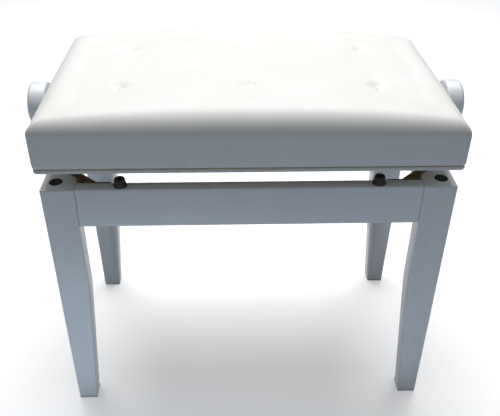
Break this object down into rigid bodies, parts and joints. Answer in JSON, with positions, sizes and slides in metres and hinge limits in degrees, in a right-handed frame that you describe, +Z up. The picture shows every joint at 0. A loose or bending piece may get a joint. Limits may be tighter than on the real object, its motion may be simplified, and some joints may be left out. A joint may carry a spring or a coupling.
{
  "type": "piano bench",
  "caption": "Height-adjustable piano bench: tufted ivory padded seat on a scissor lift turned by side knobs, on a white painted wooden base with tapered legs.",
  "frame": {"origin": "on the floor, in the middle of the four feet", "axes": "+X along the bench to the right, +Y to the rear, +Z up; the front faces -Y"},
  "size_m": [0.62, 0.321, 0.512],
  "materials": {
    "white_paint": "white lacquer, semi-matt",
    "ivory_leather": "fine-grained, semi-matt",
    "ivory_welt": "fine-grained, semi-matt",
    "leather_hem": "woven backing",
    "tuft_thread": "waxed thread",
    "plywood": "raw plywood",
    "foam": "open-cell foam",
    "knob_paint": "white lacquer, semi-gloss",
    "black_rubber": "matt",
    "black_plastic": "matt",
    "grey_plastic": "matt",
    "frame_steel": "black powder coat",
    "arm_steel": "black powder coat",
    "bright_steel": "turned, zinc plated",
    "spindle_steel": "rolled thread, oiled",
    "bright_screws": "zinc plated",
    "staple_wire": "galvanised",
    "black_steel": "black oxide",
    "yellow_zinc": "yellow passivated zinc"
  },
  "bodies": {
    "base": {"leg_front_left": "white_paint", "leg_front_right": "white_paint", "leg_rear_left": "white_paint", "leg_rear_right": "white_paint", "foot_glides": "grey_plastic", "leg_plugs": "black_rubber", "apron_front": "white_paint", "apron_rear": "white_paint", "apron_left": "white_paint", "apron_right": "white_paint", "bumpers": "black_rubber", "corner_plates": "yellow_zinc", "plate_screws": "bright_screws", "leg_bolts": "bright_screws", "leg_nuts": "yellow_zinc", "lower_rail_front": "frame_steel", "lower_rail_rear": "frame_steel", "lower_end_left": "frame_steel", "lower_end_right": "frame_steel", "end_screws": "bright_screws", "lower_shaft": "bright_steel", "lower_spacers": "bright_steel", "lower_clips": "black_steel"},
    "seat": {"seat_wall_front": "plywood", "seat_wall_rear": "plywood", "seat_wall_left": "plywood", "seat_wall_right": "plywood", "seat_board": "plywood", "board_screws": "bright_screws", "seat_foam": "foam", "seat_cover": "ivory_leather", "seat_welt": "ivory_welt", "seat_hem": "leather_hem", "hem_staples": "staple_wire", "tuft_ties": "tuft_thread", "upper_rail_front": "frame_steel", "upper_rail_rear": "frame_steel", "upper_end_left": "frame_steel", "upper_end_right": "frame_steel", "rail_screws": "bright_screws", "spindle_bushes": "black_plastic", "upper_pins": "bright_steel"},
    "spindle": {"spindle_rod": "spindle_steel", "spindle_collars": "spindle_steel", "knob_left": "knob_paint", "knob_right": "knob_paint", "knob_screws": "black_steel"},
    "nut": {"spindle_nut": "yellow_zinc", "nut_trunnions": "bright_steel", "nut_rollers": "black_plastic"},
    "arms_a": {"arm_a_front": "arm_steel", "arm_a_rear": "arm_steel", "arm_spreader": "bright_steel", "centre_pins": "bright_steel"},
    "arms_b": {"arm_b_front": "arm_steel", "arm_b_rear": "arm_steel", "slide_shaft": "bright_steel", "slide_rollers": "black_plastic"}
  },
  "joints": [
    {"name": "seat_lift", "type": "slide", "parent": "base", "child": "seat", "axis": [0, 0, 1], "range_m": [-0.0157, 0.09]},
    {"name": "knob_turn", "type": "hinge", "parent": "seat", "child": "spindle", "pos_m": [0, 0, 0.45], "axis": [1, 0, 0], "range_deg": [-492, 2808]},
    {"name": "nut_travel", "type": "slide", "parent": "seat", "child": "nut", "axis": [1, 0, 0], "range_m": [-0.0235, 0.0042]},
    {"name": "arms_a_swing", "type": "hinge", "parent": "base", "child": "arms_a", "pos_m": [-0.19742, 0, 0.386], "axis": [0, -1, 0], "range_deg": [-2.36, 13.36]},
    {"name": "arms_b_swing", "type": "hinge", "parent": "seat", "child": "arms_b", "pos_m": [-0.19742, 0, 0.45], "axis": [0, 1, 0], "range_deg": [-2.36, 13.36]}
  ],
  "couplings": [
    {"joint": "knob_turn", "follows": "seat_lift", "rad_per_m": 544.54},
    {"joint": "nut_travel", "follows": "seat_lift", "ratio": -0.26},
    {"joint": "arms_a_swing", "follows": "seat_lift", "rad_per_m": 2.585},
    {"joint": "arms_b_swing", "follows": "seat_lift", "rad_per_m": 2.585}
  ]
}
